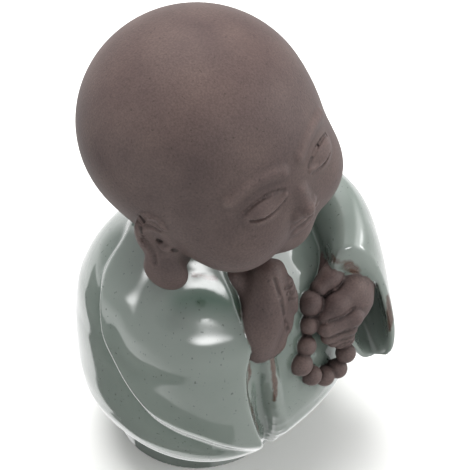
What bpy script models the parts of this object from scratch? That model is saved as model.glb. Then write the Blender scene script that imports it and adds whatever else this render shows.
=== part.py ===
"""Baby monk statue: one ceramic casting, a large bare-clay head over a glazed wide-sleeved robe.

The figure stands on Z = 0, looks along -Y and has its own left hand toward +X.
Its forms are worked out in figure millimetres, true at the nominal height, and scaled once at the end.
"""

import math

import bpy
import numpy as np
from mathutils import Euler

# Driving sizes: metres for the whole, figure millimetres for the rest
HEIGHT = 0.1078
HEAD_HALF = (23.4, 24.0, 22.6)
HEAD_AT = (0.6, 0.6, 84.6)
HEAD_TURN = (-12.0, -8.0, 4.0)
JOWL_HALF = (18.0, 15.6, 15.4)
CHEEK_RADIUS = 8.6
NOSE_RADIUS = 1.7
EYE_SPREAD = 7.9
EYE_LINE = -7.4
MOUTH_LINE = -16.6
EAR_HEIGHT = 22.0
EAR_STAND_OFF = 2.4
SKIRT_RADIUS = 18.4
HEM_HEIGHT = 10.4
HEM_ROUND = 1.6
SLEEVE_LAYER = 1.6
SLEEVE_WALL = 1.8
CUFF_GAP_TOP = 42.0
BEAD_RADIUS = 2.1
FINGER_RADIUS = 1.9
BLEND = 1.0
CELL = 0.7
TRIANGLES = 9600

# Corners of the space round the figure; its top follows the head
ROOM_LOW = (-34.03, -36.02, -1.91)
ROOM_HIGH = (42.0, 32.0)
HEADROOM = 4.6

# Robe outline at each height: height, right, left, front and back reach
ROBE = (
    (9.4, 20.0, 24.4, 20.6, 19.5),
    (11.6, 23.2, 29.8, 24.4, 22.8),
    (14.2, 24.4, 31.9, 26.3, 24.4),
    (18.0, 25.0, 33.0, 26.9, 25.2),
    (26.0, 25.3, 32.2, 26.4, 25.6),
    (36.0, 25.1, 30.2, 24.0, 25.1),
    (45.0, 24.0, 27.4, 20.2, 23.0),
    (52.0, 20.4, 22.8, 15.0, 19.2),
    (57.0, 14.2, 15.8, 10.0, 14.4),
    (60.5, 11.2, 12.0, 7.6, 11.6),
    (64.0, 10.2, 10.8, 6.4, 10.8),
)
ROBE_TOP = 63.0
NECK_RADIUS = 9.0

# Right sleeve's lower edge: degrees round from -X toward the back, and height
SLEEVE_EDGE = (
    (-80, 13.5),
    (-66, 16.2),
    (-54, 19.6),
    (-44, 22.4),
    (-33, 24.4),
    (-22, 26.8),
    (-9, 33.0),
    (-3, 36.8),
    (3, 40.6),
    (7, 44.2),
    (11, 47.6),
    (14, 49.6),
    (18, 51.4),
    (24, 53.8),
    (31, 56.6),
    (45, 58.5),
    (90, 60.0),
)

# Right sleeve's front lip: height and place across
SLEEVE_LIP = (
    (8, -4.5),
    (14, -6.8),
    (19, -8.4),
    (24, -9.8),
    (30, -10.5),
    (36, -10.0),
    (40, -8.7),
    (44, -7.1),
    (50, -5.6),
    (60, -4.0),
)

# Left sleeve: its path seen from above, then share along it, top, bottom, half thickness and lean
LEFT_PATH = ((6.0, 8.0), (18.0, 6.4), (26.4, -1.6), (28.6, -11.2), (26.9, -19.2), (23.1, -25.9))
LEFT_SLEEVE = (
    (0.0, 52.0, 44.0, 4.0, 0.0),
    (0.25, 57.5, 38.0, 6.4, 0.0),
    (0.5, 59.5, 30.0, 7.8, 0.0),
    (0.75, 57.5, 23.0, 7.4, 0.06),
    (1.0, 52.5, 14.8, 6.0, 0.24),
)

# Folds of the robe, the forearm under its sleeve and the panel's edge: places and radius
FOREARM = ((-20.0, -6.0, 44.0, 5.0), (-15.0, -13.0, 42.6, 4.8), (-8.0, -18.0, 42.0, 4.0))
ELBOW_FOLD = (
    (-18.8, -10.9, 53.0, 0.8),
    (-15.4, -11.6, 55.2, 1.0),
    (-11.6, -13.6, 55.6, 1.1),
    (-7.0, -17.9, 52.8, 0.8),
)
GROOVE = (
    (-6.0, -24.6, 42.0, 1.8),
    (-6.8, -25.6, 34.0, 2.4),
    (-6.4, -26.6, 24.0, 2.9),
    (-4.4, -26.4, 16.0, 2.8),
    (-3.0, -24.8, 9.0, 2.2),
)
PANEL_EDGE = (
    (-3.0, -21.6, 42.0, 1.4),
    (-3.4, -23.6, 34.0, 1.6),
    (-3.2, -24.8, 26.0, 1.7),
    (-2.0, -24.6, 17.0, 1.7),
    (-1.8, -23.2, 11.8, 1.4),
)

# Right hand: palm, heel, little-finger edge and thumb
RIGHT_PALM = (
    (-4.4, -18.4, 40.2, 4.2),
    (-3.6, -20.2, 43.6, 4.8),
    (-0.8, -19.6, 49.0, 4.6),
    (1.8, -17.8, 54.4, 3.4),
)
RIGHT_HEEL = ((-3.6, -21.0, 39.6, 3.2), (-0.6, -21.6, 39.4, 3.0))
RIGHT_EDGE = (
    (-1.8, -21.6, 39.5, 2.6),
    (1.2, -21.6, 44.0, 3.0),
    (3.2, -19.6, 50.5, 2.5),
    (4.2, -17.8, 54.5, 1.8),
)
RIGHT_THUMB = ((4.0, -22.2, 46.5, 1.7), (4.2, -21.8, 49.4, 1.7), (4.4, -20.8, 52.6, 1.3))

# Left hand: back, knuckle ridge, thumb and the web behind it
LEFT_BACK = (
    (23.8, -15.5, 42.6, 5.6),
    (21.8, -20.5, 40.4, 5.8),
    (19.0, -23.0, 38.2, 5.8),
    (17.2, -24.0, 35.6, 4.2),
)
LEFT_KNUCKLES = ((19.5, -24.8, 42.4, 3.0), (14.6, -25.2, 41.4, 2.8), (11.9, -25.2, 39.8, 2.2))
LEFT_THUMB = ((20.5, -20.5, 46.0, 2.5), (16.6, -21.6, 45.2, 2.4), (13.6, -21.6, 44.4, 1.9))
LEFT_WEB = ((18.0, -20.6, 42.6, 3.6), (14.2, -20.8, 42.4, 2.3))

# Curled fingers, first to last: knuckle, bend and tip places, and share of the common radius
FINGERS = (
    (20.6, -26.0, 38.6, 16.8, -28.1, 38.4, 10.8, -26.2, 38.2, 1.1),
    (19.6, -26.4, 36.2, 15.8, -28.2, 35.8, 10.9, -26.6, 35.4, 0.8),
    (18.8, -26.6, 34.4, 15.4, -28.0, 34.0, 12.2, -27.0, 33.6, 0.74),
    (18.0, -26.4, 32.6, 15.8, -27.8, 32.2, 13.8, -27.3, 32.0, 0.71),
)

# Beads of the loop: place and share of the common radius
BEADS = (
    (10.6, -21.9, 42.3, 1.28),
    (8.6, -23.4, 38.7, 1.05),
    (6.4, -24.8, 34.9, 1.05),
    (4.0, -25.7, 31.7, 1.2),
    (6.2, -26.8, 27.4, 1.05),
    (9.8, -27.2, 24.6, 1.05),
    (13.1, -27.8, 24.9, 1.05),
    (15.1, -28.2, 28.5, 1.05),
)


def join(a, b, round_by):
    """Union of two fields with a rounded inside corner."""
    share = np.clip(0.5 + 0.5 * (b - a) / round_by, 0, 1)
    return b + (a - b) * share - round_by * share * (1 - share)


def common(a, b, round_by):
    """Intersection of two fields with a rounded edge."""
    return -join(-a, -b, round_by)


def cut(a, b, round_by):
    """First field with the second taken out of it."""
    return -join(-a, b, round_by)


def smooth_rows(rows, at):
    """Smooth curve through rows of (place, values...), read at every place of an array."""
    table = np.array(rows, float)
    places, values = table[:, 0], table[:, 1:]
    slopes = np.gradient(values, places, axis=0)
    fine = np.linspace(places[0], places[-1], 400)
    i = np.clip(np.searchsorted(places, fine) - 1, 0, len(places) - 2)
    span = places[i + 1] - places[i]
    t = (fine - places[i]) / span
    read = []
    for column in range(values.shape[1]):
        start, end = values[i, column], values[i + 1, column]
        leave, arrive = slopes[i, column] * span, slopes[i + 1, column] * span
        curve = (2 * t**3 - 3 * t**2 + 1) * start + (3 * t**2 - 2 * t**3) * end
        curve += (t**3 - 2 * t**2 + t) * leave + (t**3 - t**2) * arrive
        read.append(np.interp(at, fine, curve))
    return read


def ellipsoid(p, centre, half):
    q = p - np.array(centre)
    half = np.array(half, float)
    near = np.sqrt(((q / half) ** 2).sum(1))
    slope = np.sqrt(((q / half**2) ** 2).sum(1)) + 1e-9
    return near * (near - 1) / slope


def rod(p, points, round_by):
    """Round rod through points of (x, y, z, radius)."""
    field = None
    for start, end in zip(points, points[1:]):
        a = np.array(start[:3], float)
        along = np.array(end[:3], float) - a
        share = np.clip(((p - a) @ along) / (along @ along), 0, 1)
        gap = np.sqrt(((p - a - share[:, None] * along) ** 2).sum(1))
        piece = gap - (start[3] + (end[3] - start[3]) * share)
        field = piece if field is None else join(field, piece, round_by)
    return field


def turned(q, degrees):
    return q @ np.array(Euler([math.radians(a) for a in degrees], "XYZ").to_matrix())


def plain_head(q):
    """Skull, jowls, cheeks and chin in the head's own frame."""
    field = ellipsoid(q, (0, 0.2, 0.6), HEAD_HALF)
    field = join(field, ellipsoid(q, (0, -8.0, -10.0), JOWL_HALF), 9)
    for side in (-1, 1):
        field = join(field, ellipsoid(q, (side * 9.6, -14.2, -13.8), [CHEEK_RADIUS] * 3), 5)
    return join(field, ellipsoid(q, (0, -17.6, -21.4), (4.6, 3.8, 3.4)), 4)


def face_depth(x, z):
    """Where the plain head's front lies, for places across and up the face."""
    x, z = np.atleast_1d(np.array(x, float)), np.atleast_1d(np.array(z, float))
    outer, inner = np.full(len(x), -40.0), np.full(len(x), -8.0)
    for _ in range(30):
        middle = (outer + inner) / 2
        inside = plain_head(np.stack([x, middle, z], 1)) < 0
        inner = np.where(inside, middle, inner)
        outer = np.where(inside, outer, middle)
    return outer


def on_face(places, sink):
    """Rod points (x, y, z, radius) from (x, z, radius) places on the face, sunk below it."""
    x, z, radius = (np.array(column, float) for column in zip(*places))
    return list(zip(x, face_depth(x, z) + sink, z, radius))


def face_forms(q, field):
    """Closed lids, brows, nose and mouth of a calm child's face, by the usual proportions."""
    for side in (-1, 1):
        lid = on_face([(side * EYE_SPREAD, EYE_LINE + 1.6, 0)], 2.2)[0]
        field = join(field, ellipsoid(q, lid[:3], (4.2, 3.0, 2.9)), 1.6)
        across = (-0.9, -0.3, 0.3, 0.9)
        slit = [(side * (EYE_SPREAD + 4.2 * a), EYE_LINE + 1.1 * a * a, 0.5) for a in across]
        field = cut(field, rod(q, on_face(slit, -0.2), 0.1), 0.5)
        brow = [(side * (EYE_SPREAD + 5.4 * a), EYE_LINE + 8.0 - 1.4 * a * a, 0.7) for a in across]
        field = join(field, rod(q, on_face(brow, 0.4), 0.1), 1.6)
    nose = on_face([(0, EYE_LINE, 1.0), (0, EYE_LINE - 3.4, NOSE_RADIUS * 0.8)], 0.5)
    tip = on_face([(0, EYE_LINE - 4.8, NOSE_RADIUS)], -0.7)
    field = join(field, rod(q, nose + tip, 1.0), 1.8)
    for side in (-1, 1):
        wing = on_face([(side * 2.0, EYE_LINE - 5.2, 0)], 0.3)[0]
        field = join(field, ellipsoid(q, wing[:3], (1.6, 1.7, 1.4)), 1.0)
    across = (-1, -0.5, 0, 0.5, 1)
    upper = [(3.4 * a, MOUTH_LINE + 1.0 + 0.5 * a * a, 0.9 - 0.4 * abs(a)) for a in across]
    field = join(field, rod(q, on_face(upper, 0.2), 0.3), 1.2)
    lower = [(2.4 * a, MOUTH_LINE - 1.1 + 0.4 * a * a, 1.1 - 0.3 * abs(a)) for a in across]
    field = join(field, rod(q, on_face(lower, 0.2), 0.3), 1.2)
    parting = [(4.0 * a, MOUTH_LINE + 0.9 * a * a, 0.45) for a in across]
    return cut(field, rod(q, on_face(parting, -0.6), 0.1), 0.5)


def ear(q, side):
    """Long-lobed ear: rounded plate, hanging lobe, root on the head and a hollow."""
    stand = HEAD_HALF[0] - EAR_STAND_OFF
    q = turned(q * np.array((side, 1, 1)) - np.array((stand, -3.3, -15.2)), (0, 8, -30))
    share = EAR_HEIGHT / 22.0
    field = ellipsoid(q, (0.2, -1.6, 3.8 * share), (1.8, 4.2, 7.0 * share))
    field = join(field, ellipsoid(q, (0.6, -0.4, -5.9 * share), (2.5, 4.3, 5.8 * share)), 2.5)
    field = join(field, ellipsoid(q, (-2.5, -3.4, 0), (3.0, 3.0, 7.5 * share)), 2.0)
    return cut(field, ellipsoid(q, (2.6, -1.6, 4.4 * share), (1.7, 2.7, 4.0 * share)), 0.8)


def head(p):
    q = turned(p - np.array(HEAD_AT), HEAD_TURN)
    field = face_forms(q, plain_head(q))
    for side in (-1, 1):
        field = join(field, ear(q, side), 1.2)
    return field


def right_hand(p):
    """Hand raised flat before the chin, with the edge of the palm and a bent thumb."""
    field = join(rod(p, RIGHT_PALM, 2), rod(p, RIGHT_HEEL, 2), 2)
    field = join(field, rod(p, RIGHT_EDGE, 2), 0.8)
    return join(field, rod(p, RIGHT_THUMB, 0.3), 0.6)


def left_hand(p):
    """Loose fist on the bead string: back of the hand, thumb across, four curled fingers."""
    field = join(rod(p, LEFT_BACK, 3), rod(p, LEFT_WEB, 2), 1)
    field = join(field, rod(p, LEFT_KNUCKLES, 1), 0.8)
    field = join(field, rod(p, LEFT_THUMB, 1), 0.5)
    for row in FINGERS:
        knuckle, bend, tip = row[:3], row[3:6], row[6:9]
        finger = [(*place, FINGER_RADIUS * row[9]) for place in (knuckle, bend, tip)]
        field = join(field, rod(p, finger, 1), 0.3)
    return field


def robe_body(p, grow):
    """Bell of the robe, closed below by a rounded hem."""
    x, y, z = p.T
    right, left, front, back = smooth_rows(ROBE, z)
    wide = np.where(x < 0, right, left)
    deep = np.where(y < 0, front, back)
    power = np.where((x > 0) & (y < 0), 2.6, 2.3)
    sideways, forward = np.abs(x / wide) ** power, np.abs(y / deep) ** power
    reach = sideways + forward + 1e-9
    size = (wide * sideways + deep * forward) / reach
    field = (reach ** (1 / power) - 1) * size * 0.88 - grow
    field = common(field, HEM_HEIGHT - z, HEM_ROUND)
    return np.maximum(field, z - ROBE_TOP)


def skirt(p):
    """Round under-robe that the figure stands on."""
    x, y, z = p.T
    field = np.hypot((x - 0.6) / 1.03, (y - 0.8) / 0.98) - (SKIRT_RADIUS + 0.06 * z)
    return np.maximum(field, z - HEM_HEIGHT - 3)


def right_sleeve(p):
    """Broad sleeve laid over the robe, from the shoulder round to its front lip."""
    round_body = np.degrees(np.arctan2(p[:, 1], -(p[:, 0] - 1.2)))
    (edge,) = smooth_rows(SLEEVE_EDGE, round_body)
    (lip,) = smooth_rows(SLEEVE_LIP, p[:, 2])
    fade = np.clip((round_body - 45) / 40, 0, 1)
    field = robe_body(p, SLEEVE_LAYER) + SLEEVE_LAYER * 1.4 * fade * fade * (3 - 2 * fade)
    field = join(field, rod(p, FOREARM, 2), 4)
    field = cut(field, rod(p, ELBOW_FOLD, 1), 4)
    field = common(field, (edge - p[:, 2]) * 0.85, 2.2)
    across = np.where(p[:, 1] < 0, p[:, 0] - lip, -9.0)
    return common(field, across, 1.8)


def place_on_path(p):
    """Share along the left sleeve's path, offset outward from it, and the path's length."""
    steps = np.linspace(0, 1, len(LEFT_PATH))
    path = np.stack(smooth_rows([(s, *q) for s, q in zip(steps, LEFT_PATH)], np.linspace(0, 1, 13)), 1)
    parts = np.diff(path, axis=0)
    lengths = np.hypot(parts[:, 0], parts[:, 1])
    starts = np.concatenate([[0], np.cumsum(lengths)])
    nearest = np.full(len(p), np.inf)
    share, offset = np.zeros(len(p)), np.zeros(len(p))
    for i, (part, length) in enumerate(zip(parts, lengths)):
        q = p[:, :2] - path[i]
        low = -9 if i == 0 else 0
        high = 9 if i == len(parts) - 1 else 1
        t = np.clip((q @ part) / length**2, low, high)
        gap = np.hypot(q[:, 0] - t * part[0], q[:, 1] - t * part[1])
        outward = np.where(part[0] * q[:, 1] < part[1] * q[:, 0], -1.0, 1.0)
        closer = gap < nearest
        nearest = np.where(closer, gap, nearest)
        share = np.where(closer, (starts[i] + t * length) / starts[-1], share)
        offset = np.where(closer, gap * outward, offset)
    return share, offset, starts[-1]


def left_sleeve(p):
    """Outside and inside of the left sleeve, a leaning flattened tube open at the wrist."""
    share, offset, length = place_on_path(p)
    top, bottom, half, lean = smooth_rows(LEFT_SLEEVE, np.clip(share, 0, 1))
    middle, tall = (top + bottom) / 2, (top - bottom) / 2
    offset = offset + lean * (p[:, 2] - middle)
    shells = []
    for wall in (0.0, SLEEVE_WALL):
        across = np.abs(offset / (half - wall)) ** 2.3
        up = np.abs((p[:, 2] - middle) / (tall - wall)) ** 2.3
        shells.append(((across + up) ** (1 / 2.3) - 1) * (half - wall))
    outside = common(shells[0], (share - 1.0) * length, 1.6)
    outside = np.maximum(outside, (-0.02 - share) * length)
    inside = np.maximum(shells[1], (0.8 - share) * length)
    return outside, common(inside, p[:, 2] - CUFF_GAP_TOP, 1.5)


def front_opening(p, field):
    """Deep fold beside the right sleeve's lip and the raised edge of the left front panel."""
    field = cut(field, rod(p, GROOVE, 1), 1.2)
    return join(field, rod(p, PANEL_EDGE, 1), BLEND)


def robe(p):
    outside, inside = left_sleeve(p)
    field = join(robe_body(p, 0.0), skirt(p), BLEND)
    field = join(field, right_sleeve(p), BLEND)
    field = join(field, cut(outside, inside, BLEND), 2.0)
    return front_opening(p, field)


def beads(p):
    field = None
    for x, y, z, share in BEADS:
        bead = ellipsoid(p, (x, y, z), [BEAD_RADIUS * share] * 3)
        field = bead if field is None else join(field, bead, 0.3)
    return field


def clay(p):
    neck = rod(p, [(0.6, 0.0, 52.0, NECK_RADIUS), (0.6, 0.0, 68.0, NECK_RADIUS)], 1)
    field = np.minimum(join(head(p), neck, 3), right_hand(p))
    return np.minimum(np.minimum(field, left_hand(p)), beads(p))


def statue(p):
    return np.maximum(join(robe(p), clay(p), 0.4), -p[:, 2])


def cell_surface(field, low, step):
    """Quads round every sign change of a sampled field, one corner in each mixed cell."""
    inside = field < 0
    corners = [(i, j, k) for i in (0, 1) for j in (0, 1) for k in (0, 1)]
    count = np.array(field.shape)
    total = np.zeros(count - 1, np.int8)
    for i, j, k in corners:
        total += inside[i : count[0] - 1 + i, j : count[1] - 1 + j, k : count[2] - 1 + k]
    mixed = (total > 0) & (total < 8)
    cells = np.argwhere(mixed)
    index = np.full(mixed.shape, -1, np.int64)
    index[mixed] = np.arange(len(cells))
    places, crossings = np.zeros((len(cells), 3)), np.zeros(len(cells))
    for corner in corners:
        for axis in (a for a in range(3) if not corner[a]):
            step_to = np.eye(3, dtype=int)[axis]
            start = field[tuple((cells + corner).T)]
            end = field[tuple((cells + corner + step_to).T)]
            crossed = (start < 0) != (end < 0)
            share = np.where(crossed, start / np.where(crossed, start - end, 1), 0)
            places += (np.array(corner) + step_to * share[:, None]) * crossed[:, None]
            crossings += crossed
    places = (places / crossings[:, None] + cells) * step + low
    quads = []
    for axis in range(3):
        u, v = np.eye(3, dtype=int)[(axis + 1) % 3], np.eye(3, dtype=int)[(axis + 2) % 3]
        first = np.take(inside, np.arange(count[axis] - 1), axis)
        second = np.take(inside, np.arange(1, count[axis]), axis)
        at = np.argwhere(first != second)
        leaving = first[tuple(at.T)]
        around = [index[tuple((at - step_back).T)] for step_back in (u + v, v, 0 * u, u)]
        ring = np.stack(around, 1)
        quads.append(np.where(leaving[:, None], ring, ring[:, ::-1]))
    return places, np.concatenate(quads)


def sampled(solid, low, high, step):
    """Field on a grid, worked out fully only in the blocks of cells near the surface."""
    block = 3
    low = np.array(low, float)
    blocks = np.ceil((np.array(high) - low) / step / block).astype(int)
    middles = [low[i] + (np.arange(blocks[i]) * block + (block - 1) / 2) * step for i in range(3)]
    rough = solid(np.stack(np.meshgrid(*middles, indexing="ij"), -1).reshape(-1, 3)).reshape(blocks)
    field = np.where(rough < 0, -9.0, 9.0)
    for axis in range(3):
        field = np.repeat(field, block, axis)
    close = np.argwhere(np.abs(rough) < 3.2 + block * step)
    inner = np.stack(np.meshgrid(*[np.arange(block)] * 3, indexing="ij"), -1).reshape(-1, 3)
    for start in range(0, len(close), 12000):
        places = (close[start : start + 12000, None] * block + inner).reshape(-1, 3)
        field[tuple(places.T)] = solid(low + places * step)
    return field


def settled(field, step):
    """Fills one corner of every grid square whose inside corners meet only across a diagonal."""
    for _ in range(20):
        filled = 0
        for u, v in ((0, 1), (1, 2), (2, 0)):
            to_u, to_v = np.eye(3, dtype=int)[u], np.eye(3, dtype=int)[v]
            inside = field < 0
            keep_u = np.arange(field.shape[u] - 1)
            keep_v = np.arange(field.shape[v] - 1)
            near = np.take(np.take(inside, keep_u, u), keep_v, v)
            over_u = np.take(np.take(inside, keep_u + 1, u), keep_v, v)
            over_v = np.take(np.take(inside, keep_u, u), keep_v + 1, v)
            far = np.take(np.take(inside, keep_u + 1, u), keep_v + 1, v)
            for at, open_corner in (
                (np.argwhere(near & far & ~over_u & ~over_v), to_u),
                (np.argwhere(~near & ~far & over_u & over_v), to_u + to_v),
            ):
                field[tuple((at + open_corner).T)] = -0.02 * step
                filled += len(at)
        if not filled:
            break
    return field


def thinned(obj, triangles):
    """Mesh of the object reduced to a number of triangles, denser where it curves most."""
    reduce = obj.modifiers.new("reduce", "DECIMATE")
    reduce.ratio = triangles / (2 * len(obj.data.polygons))
    graph = bpy.context.evaluated_depsgraph_get()
    mesh = bpy.data.meshes.new_from_object(obj.evaluated_get(graph))
    obj.modifiers.remove(reduce)
    return mesh


def finish(name, red, green, blue, roughness, coat):
    material = bpy.data.materials.new(name)
    material.use_nodes = True
    shader = material.node_tree.nodes["Principled BSDF"]
    shader.inputs["Base Color"].default_value = (red, green, blue, 1)
    shader.inputs["Roughness"].default_value = roughness
    shader.inputs["Metallic"].default_value = 0.0
    shader.inputs["Coat Weight"].default_value = coat
    return material


def build():
    high = (*ROOM_HIGH, HEAD_AT[2] + HEAD_HALF[2] + HEADROOM)
    field = settled(sampled(statue, ROOM_LOW, high, CELL), CELL)
    points, quads = cell_surface(field, np.array(ROOM_LOW), CELL)
    mesh = bpy.data.meshes.new("baby_monk_statue")
    mesh.from_pydata(points.tolist(), [], quads.tolist())
    mesh.update()
    obj = bpy.data.objects.new("baby_monk_statue", mesh)
    bpy.context.scene.collection.objects.link(obj)
    obj.data = thinned(obj, TRIANGLES)
    places = np.array([v.co[:] for v in obj.data.vertices])
    places[np.abs(places[:, 2]) < 0.01, 2] = 0.0
    centres = np.array([f.center[:] for f in obj.data.polygons])
    bare = clay(centres) < robe(centres)
    bare |= centres[:, 2] < 0.01
    middle = (places.min(0) + places.max(0)) / 2
    middle[2] = 0.0
    scaled = (places - middle) * (HEIGHT / places[:, 2].max())
    obj.data.vertices.foreach_set("co", scaled.ravel())
    obj.data.materials.append(finish("celadon glaze", 0.235, 0.275, 0.245, 0.12, 0.6))
    obj.data.materials.append(finish("bare brown clay", 0.125, 0.098, 0.092, 0.55, 0.0))
    obj.data.polygons.foreach_set("material_index", bare.astype(np.int32))
    obj.data.polygons.foreach_set("use_smooth", np.ones(len(centres), bool))
    obj.data.update()


for old in list(bpy.data.objects):
    bpy.data.objects.remove(old)
build()
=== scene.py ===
"""Baby monk statue: a fired ceramic figure, celadon-glazed robe under a bare brown clay head.

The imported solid's mesh is copied, remeshed finely and worked up to the finished surface by
moving its points onto the modelled forms: ears, face, hands, beads and the folds of the robe.
"""

import math
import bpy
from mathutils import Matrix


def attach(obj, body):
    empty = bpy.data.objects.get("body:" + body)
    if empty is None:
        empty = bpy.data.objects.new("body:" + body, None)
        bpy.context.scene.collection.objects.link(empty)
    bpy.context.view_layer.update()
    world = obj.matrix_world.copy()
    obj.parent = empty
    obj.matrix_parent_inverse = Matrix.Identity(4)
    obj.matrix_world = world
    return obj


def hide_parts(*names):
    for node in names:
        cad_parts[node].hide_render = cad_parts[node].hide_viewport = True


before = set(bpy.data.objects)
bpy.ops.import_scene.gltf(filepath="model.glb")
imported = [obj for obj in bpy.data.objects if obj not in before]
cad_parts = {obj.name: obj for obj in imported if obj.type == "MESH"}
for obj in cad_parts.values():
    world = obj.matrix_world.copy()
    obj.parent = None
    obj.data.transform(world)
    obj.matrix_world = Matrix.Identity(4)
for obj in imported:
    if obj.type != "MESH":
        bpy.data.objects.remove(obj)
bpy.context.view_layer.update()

from concurrent.futures import ThreadPoolExecutor
from functools import lru_cache

import bmesh
import bpy
import numpy as np
from mathutils import Euler, Vector

MM = 0.001

# Camera at the photograph's angle: its aim and distance in the frame's millimetres, the way
# to it, and its lens and sensor
CAMERA_AIM = (3.67, 0.55, 49.67)
CAMERA_WAY = (-0.5, -0.5, 0.7071)
CAMERA_DISTANCE = 450.0
CAMERA_NEAREST = 10.0
CAMERA_LENS = 165.4
CAMERA_SENSOR = 36.0

# Middle of the frame's box, in the figure's own millimetres
FIGURE_AT = (4.793, -2.410, 0.0)

# Softboxes: name, place and size in metres, and power in watts; all face the figure's middle
LIGHTS = (
    ("overhead", (0.2, 0.35, 1.0), (0.9, 0.7), 16.0),
    ("front right", (0.75, -0.85, 0.45), (0.5, 0.5), 4.0),
)
FIGURE_MIDDLE = (0.0, 0.0, 0.05)

# The white room that the glaze mirrors, and the pale table low at its back, on top of it
ROOM_LIGHT = 0.44
TABLE_LIGHT = 0.65

# Dark bench low on the figure's right, in directions: where its foot, top and side fade out
BENCH_FOOT = (-0.90, -0.88)
BENCH_TOP = (-0.60, -0.58)
BENCH_SIDE = (-0.24, -0.21)
BENCH_SLOPE = -0.5
BENCH_SHADE = 0.08

# Feathered softboxes on the room's wall: direction, reach and strength
GLOWS = (
    ((0.30, 0.50, 0.82), (0.8, 0.8, 0.8), 1.2),
    ((0.75, -0.60, 0.30), (0.6, 0.6, 0.5), 1.6),
    ((-0.20, -0.85, 0.50), (0.36, 0.26, 0.12), 6.0),
    ((-0.70, 0.38, 0.60), (0.2, 0.14, 0.26), 4.0),
    ((0.80, -0.57, 0.11), (0.14, 0.14, 0.22), 5.0),
)

# Sizes of the forms, in the figure's own millimetres
HEAD_HALF = (23.4, 24.0, 22.6)
HEAD_AT = (0.6, 0.6, 84.6)
HEAD_TURN = (-12.0, -8.0, 4.0)
JOWL_HALF = (18.0, 15.6, 15.4)
JOWL_AT = (0.0, -8.0, -10.0)
CHEEK_RADIUS = 8.6
CHEEK_AT = (9.6, -14.2, -13.8)
CHIN_HALF = (4.6, 3.8, 3.4)
CHIN_AT = (0.0, -17.6, -21.4)
NOSE_RADIUS = 1.7
EYE_SPREAD = 7.9
EYE_LINE = -7.4
EYE_HALF = 3.9
EYELID_HALF = (4.2, 3.0, 2.9)
BROW_HALF = 5.4
BROW_RISE = 8.0
MOUTH_LINE = -16.6
MOUTH_HALF = 4.0
EAR_HEIGHT = 22.0
SKIRT_RADIUS = 18.4
HEM_HEIGHT = 10.4
HEM_ROUND = 1.6
SLEEVE_LAYER = 1.6
SLEEVE_WALL = 1.8
CUFF_GAP_TOP = 42.0
BEAD_RADIUS = 2.1
FINGER_RADIUS = 1.9
BLEND = 1.0

# A place past the figure on any side
BEYOND = 60.0

# Finished mesh: cell, triangles, rounds and longest moves onto the forms, how near is near
# enough, the step that slopes are read over, and what counts as lying on the underside
REMESH_CELL = 0.38
MOST_TRIANGLES = 190000
FIRST_ROUNDS, FIRST_MOVE = 3, 0.6
LAST_ROUNDS, LAST_MOVE = 1, 0.3
NEAR_ENOUGH = 0.012
SLOPE_STEP = 0.06
UNDERSIDE = 0.02

# Rounds of smoothing that leave an edge or a whole form standing out, the mask's reach, and
# the height below which the foot is wiped clean of glaze
EDGE_ROUNDS = 8
FORM_ROUNDS = 80
MASK_REACH = 3.0
WIPED_BELOW = 0.1

# Robe outline at each height: height, right, left, front and back reach
ROBE = (
    (9.4, 20.0, 24.4, 20.6, 19.5),
    (11.6, 23.2, 29.8, 24.4, 22.8),
    (14.2, 24.4, 31.9, 26.3, 24.4),
    (18.0, 25.0, 33.0, 26.9, 25.2),
    (26.0, 25.3, 32.2, 26.4, 25.6),
    (36.0, 25.1, 30.2, 24.0, 25.1),
    (45.0, 24.0, 27.4, 20.2, 23.0),
    (52.0, 20.4, 22.8, 15.0, 19.2),
    (57.0, 14.2, 15.8, 10.0, 14.4),
    (60.5, 11.2, 12.0, 7.6, 11.6),
    (64.0, 10.2, 10.8, 6.4, 10.8),
)
ROBE_TOP = 63.0
NECK_RADIUS = 9.0

# Right sleeve's lower edge: degrees round from -X toward the back, and height
SLEEVE_EDGE = (
    (-80, 13.5),
    (-66, 16.2),
    (-54, 19.6),
    (-44, 22.4),
    (-33, 24.4),
    (-22, 26.8),
    (-9, 33.0),
    (-3, 36.8),
    (3, 40.6),
    (7, 44.2),
    (11, 47.6),
    (14, 49.6),
    (18, 51.4),
    (24, 53.8),
    (31, 56.6),
    (45, 58.5),
    (90, 60.0),
)

# Rolled rim along that edge: how far it stands out, its place above the edge and half width
RIM_HEIGHT = 0.5
RIM_ABOVE = 1.3
RIM_HALF = 1.1

# Right sleeve's front lip: height and place across
SLEEVE_LIP = (
    (8, -4.5),
    (14, -6.8),
    (19, -8.4),
    (24, -9.8),
    (30, -10.5),
    (36, -10.0),
    (40, -8.7),
    (44, -7.1),
    (50, -5.6),
    (60, -4.0),
)

# Left sleeve: its path seen from above, then share along it, top, bottom, half thickness and lean
PATH_POINTS = 401
LEFT_PATH = ((6.0, 8.0), (18.0, 6.4), (26.4, -1.6), (28.6, -11.2), (26.9, -19.2), (23.1, -25.9))
LEFT_SLEEVE = (
    (0.0, 52.0, 44.0, 4.0, 0.0),
    (0.25, 57.5, 38.0, 6.4, 0.0),
    (0.5, 59.5, 30.0, 7.8, 0.0),
    (0.75, 57.5, 23.0, 7.4, 0.06),
    (1.0, 52.5, 14.8, 6.0, 0.24),
)

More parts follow.
